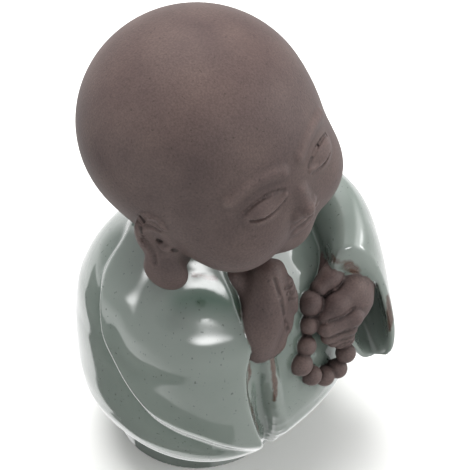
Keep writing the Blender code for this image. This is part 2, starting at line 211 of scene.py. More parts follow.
# Folds of the robe, the forearm under its sleeve and the panel's edge: places and radius
FOREARM = ((-20.0, -6.0, 44.0, 5.0), (-15.0, -13.0, 42.6, 4.8), (-8.0, -18.0, 42.0, 4.0))
ELBOW_FOLD = (
    (-18.8, -10.9, 53.0, 0.8),
    (-15.4, -11.6, 55.2, 1.0),
    (-11.6, -13.6, 55.6, 1.1),
    (-7.0, -17.9, 52.8, 0.8),
)
GROOVE = (
    (-6.0, -24.6, 42.0, 1.8),
    (-6.8, -25.6, 34.0, 2.4),
    (-6.4, -26.6, 24.0, 2.9),
    (-4.4, -26.4, 16.0, 2.8),
    (-3.0, -24.8, 9.0, 2.2),
)
PANEL_EDGE = (
    (-3.0, -21.6, 42.0, 1.4),
    (-3.4, -23.6, 34.0, 1.6),
    (-3.2, -24.8, 26.0, 1.7),
    (-2.0, -24.6, 17.0, 1.7),
    (-1.8, -23.2, 11.8, 1.4),
)

# Right hand: palm, heel, little-finger edge and thumb
RIGHT_PALM = (
    (-4.4, -18.4, 40.2, 4.2),
    (-3.6, -20.2, 43.6, 4.8),
    (-0.8, -19.6, 49.0, 4.6),
    (1.8, -17.8, 54.4, 3.4),
)
RIGHT_HEEL = ((-3.6, -21.0, 39.6, 3.2), (-0.6, -21.6, 39.4, 3.0))
RIGHT_EDGE = (
    (-1.8, -21.6, 39.5, 2.6),
    (1.2, -21.6, 44.0, 3.0),
    (3.2, -19.6, 50.5, 2.5),
    (4.2, -17.8, 54.5, 1.8),
)
RIGHT_THUMB = ((4.0, -22.2, 46.5, 1.7), (4.2, -21.8, 49.4, 1.7), (4.4, -20.8, 52.6, 1.3))

# Left hand: back, knuckle ridge, thumb and the web behind it
LEFT_BACK = (
    (23.8, -15.5, 42.6, 5.6),
    (21.8, -20.5, 40.4, 5.8),
    (19.0, -23.0, 38.2, 5.8),
    (17.2, -24.0, 35.6, 4.2),
)
LEFT_KNUCKLES = ((19.5, -24.8, 42.4, 3.0), (14.6, -25.2, 41.4, 2.8), (11.9, -25.2, 39.8, 2.2))
LEFT_THUMB = ((20.5, -20.5, 46.0, 2.5), (16.6, -21.6, 45.2, 2.4), (13.6, -21.6, 44.4, 1.9))
LEFT_WEB = ((18.0, -20.6, 42.6, 3.6), (14.2, -20.8, 42.4, 2.3))

# Curled fingers, first to last: knuckle, bend and tip places, and share of the common radius
FINGERS = (
    (20.6, -26.0, 38.6, 16.8, -28.1, 38.4, 10.8, -26.2, 38.2, 1.1),
    (19.6, -26.4, 36.2, 15.8, -28.2, 35.8, 10.9, -26.6, 35.4, 0.8),
    (18.8, -26.6, 34.4, 15.4, -28.0, 34.0, 12.2, -27.0, 33.6, 0.74),
    (18.0, -26.4, 32.6, 15.8, -27.8, 32.2, 13.8, -27.3, 32.0, 0.71),
)

# Beads of the loop: place and share of the common radius
BEADS = (
    (10.6, -21.9, 42.3, 1.28),
    (8.6, -23.4, 38.7, 1.05),
    (6.4, -24.8, 34.9, 1.05),
    (4.0, -25.7, 31.7, 1.2),
    (6.2, -26.8, 27.4, 1.05),
    (9.8, -27.2, 24.6, 1.05),
    (13.1, -27.8, 24.9, 1.05),
    (15.1, -28.2, 28.5, 1.05),
)

# Finer relief, all typed near the surface it is laid on. Ear: place, turn, rim, folds and pits
EAR_AT = (21.4, -2.75, -15.0)
EAR_TURN = (0, 9, -30)
HELIX = (
    (1.9, 0.5, 5.0),
    (1.9, 0.6, 7.4),
    (1.5, 0.3, 9.6),
    (1.0, -0.8, 11.4),
    (1.0, -2.4, 12.3),
    (1.2, -4.0, 12.0),
    (1.5, -5.0, 10.8),
    (1.9, -5.3, 9.3),
)
EAR_FOLD = ((1.7, -0.9, 9.8), (1.7, -1.8, 9.9), (1.6, -2.8, 9.3), (1.7, -3.9, 8.3))
EAR_GROOVE = ((1.7, 0.1, 6.0), (1.5, -0.1, 3.1), (1.7, -0.3, 1.1), (2.4, 0.1, -1.1))
EAR_RIDGE = ((1.1, -2.2, 4.2), (1.4, -2.4, 3.0), (1.6, -3.1, 2.5), (1.7, -4.2, 3.2))
EAR_PITS = ((0.5, -2.6, 4.4), (1.6, -4.9, 1.9))

# Right hand: wrist, crease down the palm and creases across the thumb's joints
WRIST = ((-2.3, -12.6, 52.8, 2.6), (-1.4, -13.9, 51.8, 2.7), (-1.2, -15.9, 50.2, 3.0))
PALM_CREASE = (
    (0.8, -20.6, 55.9),
    (0.2, -22.9, 52.8),
    (0.1, -24.5, 50.0),
    (0.5, -24.7, 45.4),
    (1.6, -24.4, 41.0),
)
THUMB_CREASES = (
    ((2.2, -22.0, 53.2), (3.8, -22.8, 52.9), (5.0, -22.4, 53.3)),
    ((2.4, -22.6, 51.8), (3.8, -23.2, 51.4), (5.2, -22.6, 51.6)),
    ((2.6, -23.0, 50.2), (4.0, -23.4, 49.6), (5.4, -22.8, 49.8)),
)

# Left hand: edge of the thumb, upper edge of the first finger and the gaps between the fingers
HAND_CREASES = (
    (
        (17.4, -23.1, 44.9),
        (15.8, -23.2, 44.1),
        (14.5, -22.8, 43.2),
        (12.2, -22.9, 43.8),
        (12.2, -21.4, 44.1),
    ),
    ((9.5, -25.9, 40.0), (12.0, -27.1, 40.6), (14.6, -27.8, 40.9), (17.2, -27.6, 40.9)),
    ((10.6, -27.0, 36.9), (13.0, -28.2, 37.0), (15.8, -29.4, 37.1), (18.4, -28.4, 37.3)),
    ((11.6, -27.6, 34.6), (13.4, -28.4, 34.8), (15.8, -29.0, 35.0), (18.2, -28.0, 35.4)),
    ((12.8, -27.8, 32.8), (14.4, -28.4, 32.9), (16.2, -28.6, 33.2), (18.0, -27.6, 33.6)),
)

# Edges where the glaze runs thin and brown, and the fold where it pools green: places and width
THIN_EDGES = (
    ((-10.5, -9.3, 57.0, 0.5), (-7.8, -11.6, 55.9, 0.5), (-6.1, -14.7, 55.5, 0.5)),
    ((-5.8, -17.8, 50.8, 0.8), (-6.5, -20.3, 48.6, 0.9), (-7.6, -22.5, 45.2, 0.6)),
    (
        (-7.9, -22.3, 40.5, 0.4),
        (-8.6, -23.0, 36.1, 0.5),
        (-10.7, -24.5, 32.0, 0.5),
        (-7.6, -24.5, 19.2, 0.7),
    ),
    ((-3.1, -24.4, 38.9, 0.6), (-3.7, -25.7, 31.5, 0.6), (-4.2, -26.2, 27.5, 0.4)),
    (
        (17.6, -21.3, 49.9, 0.9),
        (20.0, -23.9, 48.1, 1.0),
        (21.4, -26.2, 44.5, 0.8),
        (21.5, -27.3, 43.2, 0.5),
    ),
    ((27.8, -28.2, 36.3, 0.6), (28.3, -28.7, 31.5, 0.7), (28.4, -28.6, 25.6, 0.5)),
)
POOLS = (((-14.6, -10.2, 53.6, 1.6), (-11.0, -12.8, 53.3, 2.4), (-6.3, -16.9, 50.6, 1.6)),)

# Colours of the stoneware and of the glaze
CLAY_DARK, CLAY_PALE = "#4f403e", "#5d4d49"
GLAZE_DEEP, GLAZE_PALE = "#515f57", "#767f79"
GLAZE_POOLED, GLAZE_THIN = "#3f5a4c", "#47291a"
FLOOR_PALE = "#f4f4f2"

# Widths of the finishes' patterns in millimetres. The clay's grain, taken as about 0.15 mm as
# is typical of fine stoneware, is drawn coarser so that it shows
CLOUD_WIDTH = 9.0
GRAIN_WIDTH = 0.42
CLAY_SPECK_WIDTH = 0.7
DRIFT_WIDTH = 14.0
WORN_WIDTH = 2.5
GLAZE_SPECK_WIDTH = 0.8
RAGGED_WIDTH = 1.2
GRAIN_DEPTH = 0.12

# Settings of the arithmetic nodes used most
TIMES = {"operation": "MULTIPLY"}
PLUS = {"operation": "ADD"}
SCALED = {"operation": "SCALE"}


def linear(hex_colour):
    """sRGB hex colour as linear red, green, blue and alpha."""
    parts = [int(hex_colour[i : i + 2], 16) / 255 for i in (1, 3, 5)]
    return [c / 12.92 if c <= 0.04045 else ((c + 0.055) / 1.055) ** 2.4 for c in parts] + [1.0]


def node(tree, kind, settings=None, links=None):
    """Adds one node, sets its settings and sockets, and links what feeds it."""
    made = tree.nodes.new(kind)
    for name, value in (settings or {}).items():
        if isinstance(name, int) or name in made.inputs:
            made.inputs[name].default_value = value
        else:
            setattr(made, name, value)
    for name, source in (links or {}).items():
        tree.links.new(source, made.inputs[name])
    return made


def ramp(low, high, start, end):
    """Map Range settings by socket number, as the node has two sockets of each name."""
    return {1: low, 2: high, 3: start, 4: end}


def join(a, b, round_by):
    """Union of two forms with a rounded inside corner."""
    share = np.clip(0.5 + 0.5 * (b - a) / round_by, 0, 1)
    return b + (a - b) * share - round_by * share * (1 - share)


def common(a, b, round_by):
    """Intersection of two forms with a rounded edge."""
    return -join(-a, -b, round_by)


def cut(a, b, round_by):
    """First form with the second taken out of it."""
    return -join(-a, b, round_by)


def close_to(p, low, high, form, margin=3.0):
    """Reads a form only at the points near its box, and takes the rest as clear of it."""
    near = ((p > np.array(low) - margin) & (p < np.array(high) + margin)).all(1)
    field = np.full(len(p), margin)
    if near.any():
        field[near] = form(p[near])
    return field


def smooth_rows(rows, at):
    """Smooth curve through rows of (place, values...), read at every place of an array."""
    table = np.array(rows, float)
    places, values = table[:, 0], table[:, 1:]
    slopes = np.gradient(values, places, axis=0)
    fine = np.linspace(places[0], places[-1], 1600)
    i = np.clip(np.searchsorted(places, fine) - 1, 0, len(places) - 2)
    span = places[i + 1] - places[i]
    t = (fine - places[i]) / span
    read = []
    for column in range(values.shape[1]):
        start, end = values[i, column], values[i + 1, column]
        leave, arrive = slopes[i, column] * span, slopes[i + 1, column] * span
        curve = (2 * t**3 - 3 * t**2 + 1) * start + (3 * t**2 - 2 * t**3) * end
        curve += (t**3 - 2 * t**2 + t) * leave + (t**3 - t**2) * arrive
        read.append(np.interp(at, fine, curve))
    return read


def ellipsoid(p, centre, half):
    """Ellipsoid from its centre and half sizes."""
    q = p - np.array(centre)
    half = np.array(half, float)
    near = np.sqrt(((q / half) ** 2).sum(1))
    slope = np.sqrt(((q / half**2) ** 2).sum(1)) + 1e-9
    return near * (near - 1) / slope


def rod(p, points, round_by):
    """Round rod through points of (x, y, z, radius)."""
    field = None
    for start, end in zip(points, points[1:]):
        a = np.array(start[:3], float)
        along = np.array(end[:3], float) - a
        share = np.clip(((p - a) @ along) / (along @ along), 0, 1)
        gap = np.sqrt(((p - a - share[:, None] * along) ** 2).sum(1))
        piece = gap - (start[3] + (end[3] - start[3]) * share)
        field = piece if field is None else join(field, piece, round_by)
    return field


def by_line(p, places, reach):
    """Marks the points inside the box round a line's places."""
    return ((p > places[:, :3].min(0) - reach) & (p < places[:, :3].max(0) + reach)).all(1)


def touched(p, field, change, line, within, round_by):
    """Joins or cuts a thin rod, working only on the points near it."""
    places = np.array(line)
    near = by_line(p, places, places[:, 3].max() + round_by + 1.0)
    if near.any():
        field = field.copy()
        field[near] = change(field[near], rod(p[near], line, within), round_by)
    return field


def turn_matrix(degrees):
    """Rotation by three angles, as an array."""
    return np.array(Euler([math.radians(a) for a in degrees], "XYZ").to_matrix())


def settled(form, places, sink=0.0):
    """Moves a few typed places onto a form's surface, or a given depth below it."""
    p = np.array(places, float)
    steps = np.eye(3) * 0.05
    for _ in range(5):
        here = form(p)
        slope = np.stack([(form(p + s) - form(p - s)) / 0.1 for s in steps], 1)
        size = np.maximum((slope**2).sum(1), 0.05)
        p = p - slope * ((here + sink) / size)[:, None]
    return p


@lru_cache(None)
def curved(points, count=14):
    """Smooth curve through typed points, as points of a rod."""
    steps = np.linspace(0, 1, len(points))
    rows = [(step, *point) for step, point in zip(steps, points)]
    return tuple(zip(*smooth_rows(rows, np.linspace(0, 1, count))))


@lru_cache(None)
def drawn_on(form, line, width, sink=0.0):
    """Rod points along a line typed near a form, laid on its surface and tapered at both ends."""
    p = settled(form, curved(line, 9), sink)
    taper = np.sin(np.linspace(0.18, 0.82, len(p)) * math.pi) ** 0.5
    return [(*place, width * t) for place, t in zip(p.tolist(), taper)]


def plain_head(q):
    """Skull, jowls, cheeks and chin in the head's own frame."""
    field = ellipsoid(q, (0, 0.2, 0.6), HEAD_HALF)
    field = join(field, ellipsoid(q, JOWL_AT, JOWL_HALF), 9)
    for side in (-1, 1):
        cheek = (side * CHEEK_AT[0], *CHEEK_AT[1:])
        field = join(field, ellipsoid(q, cheek, [CHEEK_RADIUS] * 3), 5)
    return join(field, ellipsoid(q, CHIN_AT, CHIN_HALF), 4)


def face_depth(x, z):
    """Where the plain head's front lies, for places across and up the face."""
    x, z = np.atleast_1d(np.array(x, float)), np.atleast_1d(np.array(z, float))
    outer, inner = np.full(len(x), -40.0), np.full(len(x), -8.0)
    for _ in range(30):
        middle = (outer + inner) / 2
        inside = plain_head(np.stack([x, middle, z], 1)) < 0
        inner = np.where(inside, middle, inner)
        outer = np.where(inside, outer, middle)
    return outer


def on_face(places, sink):
    """Rod points (x, y, z, radius) from (x, z, radius) places on the face, sunk below it."""
    x, z, radius = (np.array(column, float) for column in zip(*places))
    return list(zip(x, face_depth(x, z) + sink, z, radius))


@lru_cache(None)
def face_lines():
    """Lids, brows, nose and mouth of a calm child's face: change, rod points and roundings."""
    steps, arc = np.linspace(-1, 1, 7), np.linspace(-1, 1, 9)
    lines = []
    for side in (-1, 1):
        slit = [(side * (EYE_SPREAD + EYE_HALF * a), EYE_LINE + 1.0 * a * a, 0.42) for a in steps]
        lines.append((cut, on_face(slit, -0.35), 0.1, 0.35))
        wide, low = EYE_HALF + 0.2, EYE_LINE + 0.9
        lash = [(side * (EYE_SPREAD + wide * a), low + 1.0 * a * a, 0.5) for a in steps]
        lines.append((join, on_face(lash, 0.15), 0.1, 0.6))
        wide, top = EYE_HALF + 0.3, EYE_LINE + 4.3
        crease = [(side * (EYE_SPREAD + wide * a), top - 1.3 * a * a, 0.3) for a in steps]
        lines.append((cut, on_face(crease, -0.05), 0.1, 0.5))
        top = EYE_LINE + BROW_RISE
        brow = [(side * (EYE_SPREAD + BROW_HALF * a), top - 1.4 * a * a, 0.7) for a in steps]
        lines.append((join, on_face(brow, 0.4), 0.1, 1.6))
    nose = on_face([(0, EYE_LINE, 1.0), (0, EYE_LINE - 3.4, NOSE_RADIUS * 0.8)], 0.5)
    tip = on_face([(0, EYE_LINE - 4.8, NOSE_RADIUS)], -0.7)
    lines.append((join, nose + tip, 1.0, 1.8))
    for side in (-1, 1):
        places = [(side * 1.9, EYE_LINE - 5.0, 1.3), (side * 2.2, EYE_LINE - 5.4, 1.2)]
        wing = on_face(places, 0.3)
        lines.append((join, wing, 0.3, 1.0))
        below = EYE_LINE - 6.4
        nostril = on_face([(side * 1.1, below, 0.45), (side * 1.4, below, 0.35)], -1.3)
        lines.append((cut, nostril, 0.2, 0.3))
    bow = [1.0 + 0.5 * a * a - 0.3 * (abs(a) < 0.1) for a in arc]
    upper = [(3.4 * a, MOUTH_LINE + rise, 0.9 - 0.4 * abs(a)) for a, rise in zip(arc, bow)]
    lines.append((join, on_face(upper, 0.2), 0.3, 1.0))
    lower = [(2.4 * a, MOUTH_LINE - 1.1 + 0.4 * a * a, 1.1 - 0.3 * abs(a)) for a in arc]
    lines.append((join, on_face(lower, 0.2), 0.3, 1.0))
    parting = [(MOUTH_HALF * a, MOUTH_LINE + 0.9 * a * a, 0.4) for a in arc]
    lines.append((cut, on_face(parting, -0.7), 0.1, 0.4))
    philtrum = [(0, MOUTH_LINE + 2.2, 0.4), (0, MOUTH_LINE + 3.6, 0.5)]
    lines.append((cut, on_face(philtrum, -0.25), 0.1, 0.8))
    return lines


@lru_cache(None)
def eyelid_at(side):
    """Middle of the right or left eyelid's bulge, a little below the face."""
    return on_face([(side * EYE_SPREAD, EYE_LINE + 1.6, 0)], 2.2)[0][:3]


def face(q, field):
    """Adds the eyelids' bulge and the face's lines to the head."""
    for side in (-1, 1):
        field = join(field, ellipsoid(q, eyelid_at(side), EYELID_HALF), 1.6)
    for change, line, within, round_by in face_lines():
        field = touched(q, field, change, line, within, round_by)
    return field


def ear_plate(q):
    """Rounded plate, hanging lobe and root on the head, in the ear's own frame."""
    share = EAR_HEIGHT / 22.0
    field = ellipsoid(q, (0.4, -1.8, 4.0 * share), (1.9, 4.3, 7.2 * share))
    field = join(field, ellipsoid(q, (0.6, -0.4, -5.9 * share), (2.5, 4.3, 5.9 * share)), 2.5)
    return join(field, ellipsoid(q, (-2.5, -3.4, 0), (3.0, 3.0, 7.5 * share)), 1.4)


def ear_frame(q, side):
    """Points of the head's frame in the right or left ear's own frame."""
    return (q * np.array((side, 1, 1)) - np.array(EAR_AT)) @ turn_matrix(EAR_TURN)


def hollowed_ear(e):
    """Plain ear with the bowl taken out of its plate."""
    return cut(ear_plate(e), ellipsoid(e, (2.6, -2.2, 5.2), (1.5, 2.7, 3.9)), 0.9)


def ear_ground(e):
    """Side of the head with the plain ear on it, in the ear's own frame."""
    side_of_head = plain_head(e @ turn_matrix(EAR_TURN).T + np.array(EAR_AT))
    return join(side_of_head, hollowed_ear(e), 1.0)


def ear(e, field):
    """Adds an ear to the head: plate, rim, inner fold, groove, ridge and two pits."""
    field = join(field, hollowed_ear(e), 1.0)
    field = touched(e, field, join, drawn_on(ear_ground, HELIX, 0.75, 0.1), 0.3, 0.6)
    field = touched(e, field, cut, drawn_on(ear_ground, EAR_FOLD, 0.4), 0.2, 0.4)
    field = touched(e, field, cut, drawn_on(ear_ground, EAR_GROOVE, 0.5), 0.2, 0.5)
    field = touched(e, field, join, drawn_on(ear_ground, EAR_RIDGE, 0.4, 0.1), 0.2, 0.4)
    for place in EAR_PITS:
        pit = settled(ear_ground, [place])[0]
        inner, outer = pit - (1.8, 0.2, 0.0), pit + (1.2, 0.2, 0.0)
        field = touched(e, field, cut, ((*outer, 0.75), (*inner, 0.6)), 0.2, 0.3)
    return field


def head(p):
    """Head with its face and both ears, turned and set on the neck."""
    q = (p - np.array(HEAD_AT)) @ turn_matrix(HEAD_TURN)
    field = plain_head(q)
    front = (q[:, 1] < -8) & (q[:, 2] < 6)
    field[front] = face(q[front], field[front])
    for side in (-1, 1):
        e = ear_frame(q, side)
        near = ((e > (-8, -10, -16)) & (e < (7, 8, 15))).all(1)
        if near.any():
            field[near] = ear(e[near], field[near])
    return field


def right_hand_form(p):
    """Hand raised flat before the chin, with the edge of the palm and a bent thumb."""
    field = join(rod(p, curved(RIGHT_PALM), 0.5), rod(p, RIGHT_HEEL, 2), 2)
    field = join(field, rod(p, WRIST, 1), 1.5)
    field = join(field, rod(p, curved(RIGHT_EDGE), 0.5), 0.8)
    return join(field, rod(p, RIGHT_THUMB, 0.3), 0.6)


def right_hand(p):
    """Right hand with its creases."""
    field = right_hand_form(p)
    field = touched(p, field, cut, drawn_on(right_hand_form, PALM_CREASE, 0.4), 0.2, 0.5)
    for crease in THUMB_CREASES:
        field = touched(p, field, cut, drawn_on(right_hand_form, crease, 0.3), 0.1, 0.3)
    return field


def left_hand_form(p):
    """Loose fist on the bead string: back of the hand, thumb across, four curled fingers."""
    field = join(rod(p, LEFT_BACK, 3), rod(p, LEFT_WEB, 2), 1)
    field = join(field, rod(p, LEFT_KNUCKLES, 1), 0.8)
    field = join(field, rod(p, LEFT_THUMB, 1), 0.5)
    for row in FINGERS:
        knuckle, bend, tip = row[:3], row[3:6], row[6:9]
        finger = [(*place, FINGER_RADIUS * row[9]) for place in (knuckle, bend, tip)]
        field = join(field, rod(p, finger, 1), 0.3)
    return field


def left_hand(p):
    """Left hand with its creases."""
    field = left_hand_form(p)
    for crease in HAND_CREASES:
        field = touched(p, field, cut, drawn_on(left_hand_form, crease, 0.32), 0.2, 0.4)
    return field


def bell(p):
    """Bell of the robe, open above and below."""
    x, y, z = p.T
    right, left, front, back = smooth_rows(ROBE, z)
    wide = np.where(x < 0, right, left)
    deep = np.where(y < 0, front, back)
    power = np.where((x > 0) & (y < 0), 2.6, 2.3)
    sideways, forward = np.abs(x / wide) ** power, np.abs(y / deep) ** power
    reach = sideways + forward + 1e-9
    size = (wide * sideways + deep * forward) / reach
    return (reach ** (1 / power) - 1) * size * 0.88


def robe_body(p, around):
    """Bell closed below by a rounded hem and above at the neck."""
    field = common(around, HEM_HEIGHT - p[:, 2], HEM_ROUND)
    return np.maximum(field, p[:, 2] - ROBE_TOP)


def skirt(p):
    """Round under-robe that the figure stands on."""
    x, y, z = p.T
    field = np.hypot((x - 0.6) / 1.03, (y - 0.8) / 0.98) - (SKIRT_RADIUS + 0.06 * z)
    return np.maximum(field, z - HEM_HEIGHT - 3)


def right_sleeve(p, around):
    """Broad sleeve laid over the robe, from the shoulder round to its front lip."""
    round_body = np.degrees(np.arctan2(p[:, 1], -(p[:, 0] - 1.2)))
    (edge,) = smooth_rows(SLEEVE_EDGE, round_body)
    (lip,) = smooth_rows(SLEEVE_LIP, p[:, 2])
    fade = np.clip((round_body - 45) / 40, 0, 1)
    from_rim = (edge - p[:, 2] - RIM_ABOVE) / RIM_HALF
    rolled = RIM_HEIGHT * np.exp(-(from_rim**2)) * (1 - fade)
    layer = robe_body(p, around - SLEEVE_LAYER - rolled)
    field = layer + SLEEVE_LAYER * 1.4 * fade * fade * (3 - 2 * fade)
    field = join(field, rod(p, curved(FOREARM), 0.5), 4)
    field = cut(field, rod(p, curved(ELBOW_FOLD), 0.5), 4)
    field = common(field, (edge - p[:, 2]) * 0.85, 3.0)
    across = np.where(p[:, 1] < 0, p[:, 0] - lip, -9.0)
    return common(field, across, 1.8)


def read_rows(rows, places, at):
    """Columns of a table read at new places."""
    return np.stack([np.interp(at, places, column) for column in rows.T], 1)


def place_on_path(p):
    """Share along the left sleeve's path, offset outward from it, and the path's length."""
    path = np.array(curved(LEFT_PATH, PATH_POINTS))
    lengths = np.concatenate([[0], np.cumsum(np.hypot(*np.diff(path, axis=0).T))])
    ways = np.gradient(path, lengths, axis=0)
    bends = np.gradient(ways, lengths, axis=0)
    along, nearest = np.zeros(len(p)), np.full(len(p), np.inf)
    for place, (x, y) in zip(lengths[::20], path[::20]):
        gap = np.hypot(p[:, 0] - x, p[:, 1] - y)
        along = np.where(gap < nearest, place, along)
        nearest = np.minimum(gap, nearest)
    for _ in range(5):
        held = np.clip(along, 0, lengths[-1])
        at, way, bend = (read_rows(rows, lengths, held) for rows in (path, ways, bends))
        apart = p[:, :2] - at
        within = (along > 0) & (along < lengths[-1])
        turn = np.where(within, np.maximum(1 - (apart * bend).sum(1), 0.5), 1.0)
        along = held + (apart * way).sum(1) / turn
    offset = way[:, 0] * apart[:, 1] - way[:, 1] * apart[:, 0]
    return along / lengths[-1], offset, lengths[-1]


def left_sleeve(p):
    """Outside and inside of the left sleeve, a leaning flattened tube open at the wrist."""
    share, offset, length = place_on_path(p)
    top, bottom, half, lean = smooth_rows(LEFT_SLEEVE, np.clip(share, 0, 1))
    middle, tall = (top + bottom) / 2, (top - bottom) / 2
    offset = offset + lean * (p[:, 2] - middle)
    shells = []
    for wall in (0.0, SLEEVE_WALL):
        across = np.abs(offset / (half - wall)) ** 2.3
        up = np.abs((p[:, 2] - middle) / (tall - wall)) ** 2.3
        shells.append(((across + up) ** (1 / 2.3) - 1) * (half - wall))
    outside = common(shells[0], (share - 1.0) * length, 1.6)
    outside = np.maximum(outside, (-0.02 - share) * length)
    inside = np.maximum(shells[1], (0.8 - share) * length)
    return outside, common(inside, p[:, 2] - CUFF_GAP_TOP, 1.5)


def left_sleeve_wall(p):
    """Wall of the left sleeve, with its inside taken out."""
    outside, inside = left_sleeve(p)
    return cut(outside, inside, BLEND)


def robe(p):
    """Robe and under-robe, with the fold beside the right sleeve's lip and the panel's edge."""
    around = bell(p)
    field = join(robe_body(p, around), skirt(p), BLEND)
    field = join(field, right_sleeve(p, around), 1.6)
    field = join(field, close_to(p, (2, -33, 10), (38, 17, 62), left_sleeve_wall), 2.0)
    field = touched(p, field, cut, curved(GROOVE), 0.1, 1.2)
    return touched(p, field, join, curved(PANEL_EDGE), 0.1, BLEND)


def beads(p):
    """Loop of beads that the left hand holds."""
    field = None
    for x, y, z, share in BEADS:
        bead = ellipsoid(p, (x, y, z), [BEAD_RADIUS * share] * 3)
        field = bead if field is None else join(field, bead, 0.3)
    return field


def neck(p):
    """Neck, hidden in the collar."""
    return rod(p, [(0.6, 0.0, 52.0, NECK_RADIUS), (0.6, 0.0, 68.0, NECK_RADIUS)], 1)


def clay(p):
    """Everything left bare: head, neck, hands and beads."""
    low, high = (-BEYOND, -BEYOND, 50), (BEYOND, BEYOND, 120)
    top = close_to(p, low, high, lambda q: join(head(q), neck(q), 3))
    right = close_to(p, (-12, -26, 34), (8, -12, 60), right_hand)
    left = close_to(p, (8, -31, 26), (31, -8, 50), left_hand)
    string = close_to(p, (0, -31, 22), (18, -18, 46), beads)
    return np.minimum(np.minimum(top, right), np.minimum(left, string))


def glazed(p):
    """Everything under glaze."""
    return close_to(p, (-BEYOND, -BEYOND, -10), (BEYOND, BEYOND, ROBE_TOP + 1), robe)


def statue(p):
    """The whole figure, cut flat below."""
    return np.maximum(join(glazed(p), clay(p), 0.4), -p[:, 2])


def in_parts(form, p, size=6000):
    """Reads a form over many points, in parts that run side by side."""
    if not len(p):
        return np.zeros(0)
    parts = [p[i : i + size] for i in range(0, len(p), size)]
    with ThreadPoolExecutor(4) as pool:
        return np.concatenate(list(pool.map(form, parts)))


def points_of(mesh):
    """Points of a mesh, in the figure's own millimetres."""
    flat = np.empty(len(mesh.vertices) * 3, np.float32)
    mesh.vertices.foreach_get("co", flat)
    return flat.reshape(-1, 3).astype(float) / MM + np.array(FIGURE_AT)


def put_points(mesh, p):
    """Puts points in the figure's own millimetres back into a mesh."""
    mesh.vertices.foreach_set("co", ((p - np.array(FIGURE_AT)) * MM).ravel().astype(np.float32))
    mesh.update()


def form_slopes(p, here):
    """Slope of the form at every point, from one reading on and three beside it."""
    slope = np.empty_like(p)
    for axis in range(3):
        beside = p.copy()
        beside[:, axis] += SLOPE_STEP
        slope[:, axis] = (in_parts(statue, beside) - here) / SLOPE_STEP
    return slope


def drawn_to_form(p, rounds, most):
    """Moves points along the form's slope until they lie on it, a little at a time."""
    for _ in range(rounds):
        here = in_parts(statue, p)
        off = (np.abs(here) > NEAR_ENOUGH) & (p[:, 2] > UNDERSIDE)
        at, here = p[off], here[off]
        slope = form_slopes(at, here)
        size = np.maximum((slope**2).sum(1), 0.2)
        move = -slope * (here / size)[:, None]
        reach = np.sqrt((move**2).sum(1))
        p[off] += move * np.minimum(1, most / np.maximum(reach, 1e-9))[:, None]
        p[:, 2] = np.maximum(p[:, 2], 0.0)
    return p


def modified(obj, kind, **settings):
    """Puts an object's mesh through one modifier, which doesn't stay on it."""
    modifier = obj.modifiers.new("work", kind)
    for name, value in settings.items():
        setattr(modifier, name, value)
    graph = bpy.context.evaluated_depsgraph_get()
    mesh = bpy.data.meshes.new_from_object(obj.evaluated_get(graph))
    obj.modifiers.remove(modifier)
    old, obj.data = obj.data, mesh
    bpy.data.meshes.remove(old)


def relief(mesh, p, rounds):
    """How far each point stands above its smoothed surroundings, in millimetres."""
    edges = np.empty(len(mesh.edges) * 2, np.int32)
    mesh.edges.foreach_get("vertices", edges)
    a, b = edges.reshape(-1, 2).T
    count = np.bincount(a, minlength=len(p)) + np.bincount(b, minlength=len(p))
    normals = np.empty(len(p) * 3, np.float32)
    mesh.vertices.foreach_get("normal", normals)
    smooth = p.copy()
    for _ in range(rounds):
        for axis in range(3):
            column = smooth[:, axis]
            total = np.bincount(a, column[b], len(p)) + np.bincount(b, column[a], len(p))
            smooth[:, axis] = 0.5 * column + 0.5 * total / np.maximum(count, 1)
    return ((p - smooth) * normals.reshape(-1, 3)).sum(1)


def stored(mesh, name, values):
    """Keeps one value a point on the mesh, for its material."""
    attribute = mesh.attributes.new(name, "FLOAT", "POINT")
    attribute.data.foreach_set("value", values.astype(np.float32))


def near_lines(p, lines):
    """Nearness to lines of (x, y, z, width): one on a line, a half at its width, then none."""
    share = np.zeros(len(p))
    for line in lines:
        places = np.array(line)
        near = by_line(p, places, 4)
        width = places[:, 3].max()
        off = rod(p[near], curved(line), 0.1)
        share[near] = np.maximum(share[near], np.clip(1 - off / width, 0, 2) / 2)
    return share


def worked_statue():
    """The finished surface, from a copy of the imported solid."""
    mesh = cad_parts["baby_monk_statue"].data.copy()
    mesh.name = "glazed_baby_monk"
    work = bmesh.new()
    work.from_mesh(mesh)
    bmesh.ops.remove_doubles(work, verts=work.verts, dist=1e-6)
    work.to_mesh(mesh)
    work.free()
    obj = bpy.data.objects.new("glazed_baby_monk", mesh)
    bpy.context.scene.collection.objects.link(obj)
    modified(obj, "REMESH", mode="VOXEL", voxel_size=REMESH_CELL * MM, adaptivity=0.0)
    put_points(obj.data, drawn_to_form(points_of(obj.data), FIRST_ROUNDS, FIRST_MOVE))
    faces = sum(len(f.vertices) - 2 for f in obj.data.polygons)
    modified(obj, "DECIMATE", ratio=min(1.0, MOST_TRIANGLES / faces))
    p = drawn_to_form(points_of(obj.data), LAST_ROUNDS, LAST_MOVE)
    put_points(obj.data, p)
    bare = np.clip(in_parts(glazed, p) - in_parts(clay, p), -MASK_REACH, MASK_REACH)
    stored(obj.data, "bare", np.where(p[:, 2] < WIPED_BELOW, MASK_REACH, bare))
    stored(obj.data, "edge", relief(obj.data, p, EDGE_ROUNDS))
    stored(obj.data, "form", relief(obj.data, p, FORM_ROUNDS))
    stored(obj.data, "thin", near_lines(p, THIN_EDGES))
    stored(obj.data, "pool", near_lines(p, POOLS))
    obj.data.shade_smooth()
    slope = form_slopes(p, in_parts(statue, p))
    slope[p[:, 2] < UNDERSIDE] = (0.0, 0.0, -1.0)
    slope /= np.sqrt((slope**2).sum(1))[:, None] + 1e-9
    obj.data.normals_split_custom_set_from_vertices(slope.tolist())
    return obj


